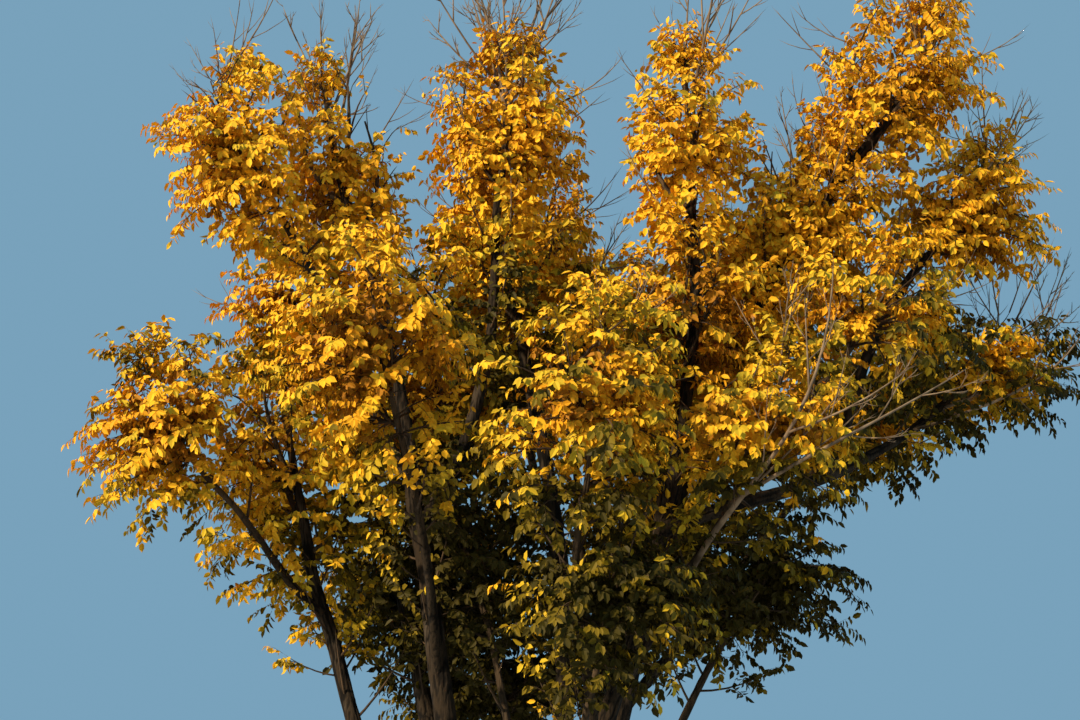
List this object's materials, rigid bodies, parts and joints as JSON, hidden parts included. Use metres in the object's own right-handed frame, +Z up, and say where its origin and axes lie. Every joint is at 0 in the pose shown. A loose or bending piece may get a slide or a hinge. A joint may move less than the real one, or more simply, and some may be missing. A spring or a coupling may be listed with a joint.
{
  "type": "elm tree",
  "caption": "Whole broad-leaved tree in autumn leaf: a flared trunk, ascending boughs in a vase, masses of golden foliage and bare dead shoots at the top.",
  "frame": {"origin": "centre of the flat cut under the trunk, at ground level", "axes": "+Z up the tree, +X to the viewer's right and +Y away from the viewer who faces the side that the picture shows"},
  "size_m": [11.1298, 8.7652, 14.6806],
  "materials": {
    "bark": "rough furrowed bark",
    "gold_leaves": "golden autumn leaves",
    "olive_leaves": "yellow-olive leaves lower in the crown"
  },
  "bodies": {
    "root": {"trunk": "bark", "left_bough": "bark", "left_centre_bough": "bark", "centre_bough": "bark", "spire_bough": "bark", "right_bough": "bark", "low_right_bough": "bark", "back_left_bough": "bark", "back_right_bough": "bark", "left_outer_branch": "bark", "upper_left_branch": "bark", "left_front_branch": "bark", "centre_top_branch": "bark", "back_top_branch": "bark", "spire_inner_branch": "bark", "front_branch": "bark", "low_front_branch": "bark", "right_inner_branch": "bark", "right_middle_branch": "bark", "right_outer_branch": "bark", "right_front_branch": "bark", "lower_right_branch": "bark", "back_left_inner_branch": "bark", "back_low_left_branch": "bark", "back_far_right_branch": "bark", "back_outer_branch": "bark", "back_low_right_branch": "bark", "inner_low_branch": "bark", "low_back_branch": "bark", "left_foliage": "gold_leaves", "left_centre_foliage": "gold_leaves", "centre_foliage": "gold_leaves", "spire_foliage": "gold_leaves", "right_foliage": "gold_leaves", "low_right_foliage": "gold_leaves", "back_left_foliage": "gold_leaves", "back_right_foliage": "gold_leaves", "left_outer_foliage": "gold_leaves", "upper_left_foliage": "gold_leaves", "left_front_foliage": "gold_leaves", "centre_top_foliage": "gold_leaves", "back_top_foliage": "gold_leaves", "spire_inner_foliage": "gold_leaves", "front_foliage": "gold_leaves", "low_front_foliage": "olive_leaves", "right_inner_foliage": "gold_leaves", "right_middle_foliage": "gold_leaves", "right_outer_foliage": "gold_leaves", "right_front_foliage": "gold_leaves", "lower_right_foliage": "olive_leaves", "back_left_inner_foliage": "gold_leaves", "back_low_left_foliage": "olive_leaves", "back_far_right_foliage": "gold_leaves", "back_outer_foliage": "gold_leaves", "back_low_right_foliage": "olive_leaves", "inner_low_foliage": "olive_leaves", "low_back_foliage": "olive_leaves"}
  },
  "joints": []
}
